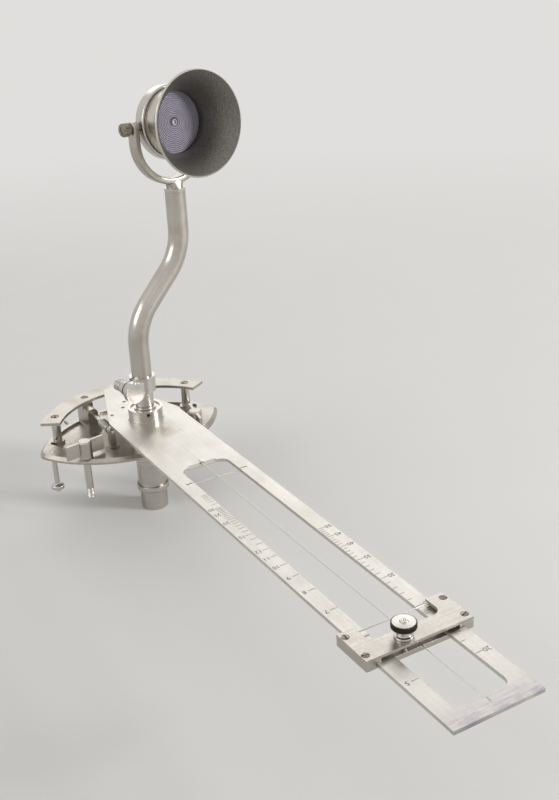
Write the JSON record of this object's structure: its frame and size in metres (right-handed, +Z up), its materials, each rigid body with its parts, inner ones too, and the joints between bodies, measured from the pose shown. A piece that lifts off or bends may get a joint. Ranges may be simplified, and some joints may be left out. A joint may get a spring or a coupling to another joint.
{
  "type": "drift meter",
  "caption": "Aircraft drift meter: slotted sight plate with wires on a spindle over a drift arc, peep eyepiece on a cranked stem, clamped slider.",
  "frame": {"origin": "centre of the flat underside of the round foot, on the spindle's axis", "axes": "+Z up the spindle, +X along the sight plate to its near end, +Y to the plate's left seen from above looking along +X"},
  "size_m": [0.419, 0.1384, 0.2826],
  "materials": {
    "plate": "brushed nickel silver, engraved scales",
    "casting": "nickel-plated casting, worn satin",
    "turned": "turned nickel silver, fine tool marks",
    "drum": "turned and lapped nickel plate",
    "tube": "nickel-plated tube worn to a warm tone",
    "bell": "spun sheet, dull inside",
    "disc": "fine turned rings, matt grey",
    "screw": "slotted steel screws, darkened slots",
    "wire": "drawn bright wire",
    "knob": "knurled, blackened in the teeth",
    "spring": "spring steel",
    "washer": "plain brass"
  },
  "bodies": {
    "base": {"base_casting": "casting", "bearing_drum": "drum", "foot_cup": "drum", "drift_arc": "casting", "arc_posts": "turned", "arc_screws": "screw", "plunger_block": "casting", "guide_post": "turned", "plunger_spring": "spring", "rim_pin": "turned", "locating_pin": "turned", "mounting_studs": "turned", "friction_washer": "washer"},
    "left_wing_nut": {"wing_nut_left": "turned"},
    "right_wing_nut": {"wing_nut_right": "turned"},
    "plunger": {"spring_plunger": "turned"},
    "deck": {"sight_plate": "plate", "spindle": "turned", "spindle_nut": "turned", "spindle_washer": "turned", "plate_screws": "screw", "sight_wire": "wire", "cross_wire": "wire", "stem_collar": "turned", "collar_set_screw": "screw"},
    "slider": {"slider_top": "plate", "slider_rails": "plate", "slider_screws": "screw", "slider_wire": "wire", "clamp_bar": "plate"},
    "knob": {"clamp_knob": "knob"},
    "stem_clamp": {"split_clamp": "turned"},
    "thumb_screw": {"clamp_thumb_screw": "turned"},
    "stem": {"stem_tube": "tube", "stem_ferrule": "turned", "yoke": "casting", "trunnion_screws": "turned"},
    "eyepiece": {"eyepiece_ring": "drum", "eyepiece_bell": "bell", "peep_disc": "disc"}
  },
  "joints": [
    {"name": "drift_swing", "type": "hinge", "parent": "base", "child": "deck", "pos_m": [0, 0, 0.063], "axis": [0, 0, 1], "range_deg": [-45, 45]},
    {"name": "slider_travel", "type": "slide", "parent": "deck", "child": "slider", "axis": [1, 0, 0], "range_m": [-0.165, 0.04]},
    {"name": "knob_turn", "type": "hinge", "parent": "slider", "child": "knob", "pos_m": [0.2894, -0.0055, 0.068], "axis": [0, 0, 1], "continuous": true},
    {"name": "stem_swivel", "type": "hinge", "parent": "deck", "child": "stem_clamp", "pos_m": [0, 0, 0.07], "axis": [0, 0, 1], "range_deg": [-100.5, 79.5]},
    {"name": "clamp_screw_turn", "type": "hinge", "parent": "stem_clamp", "child": "thumb_screw", "pos_m": [0.00186, -0.01003, 0.0876], "axis": [0.9833, 0.1822, 0], "continuous": true},
    {"name": "stem_height", "type": "slide", "parent": "stem_clamp", "child": "stem", "axis": [0, 0, 1], "range_m": [0, 0.008]},
    {"name": "eyepiece_tilt", "type": "hinge", "parent": "stem", "child": "eyepiece", "pos_m": [-0.00696, 0.03756, 0.2492], "axis": [-0.1822, 0.9833, 0], "range_deg": [-80, 25]},
    {"name": "plunger_push", "type": "slide", "parent": "base", "child": "plunger", "axis": [1, 0, 0], "range_m": [0, 0.003], "stiffness_N_per_m": 250, "springref_m": -0.004, "deforming": ["plunger_spring"]},
    {"name": "left_nut_turn", "type": "hinge", "parent": "base", "child": "left_wing_nut", "pos_m": [-0.0052, -0.042, 0.05], "axis": [0, 0, 1], "continuous": true},
    {"name": "right_nut_turn", "type": "hinge", "parent": "base", "child": "right_wing_nut", "pos_m": [-0.0052, 0.0375, 0.05], "axis": [0, 0, 1], "continuous": true}
  ]
}
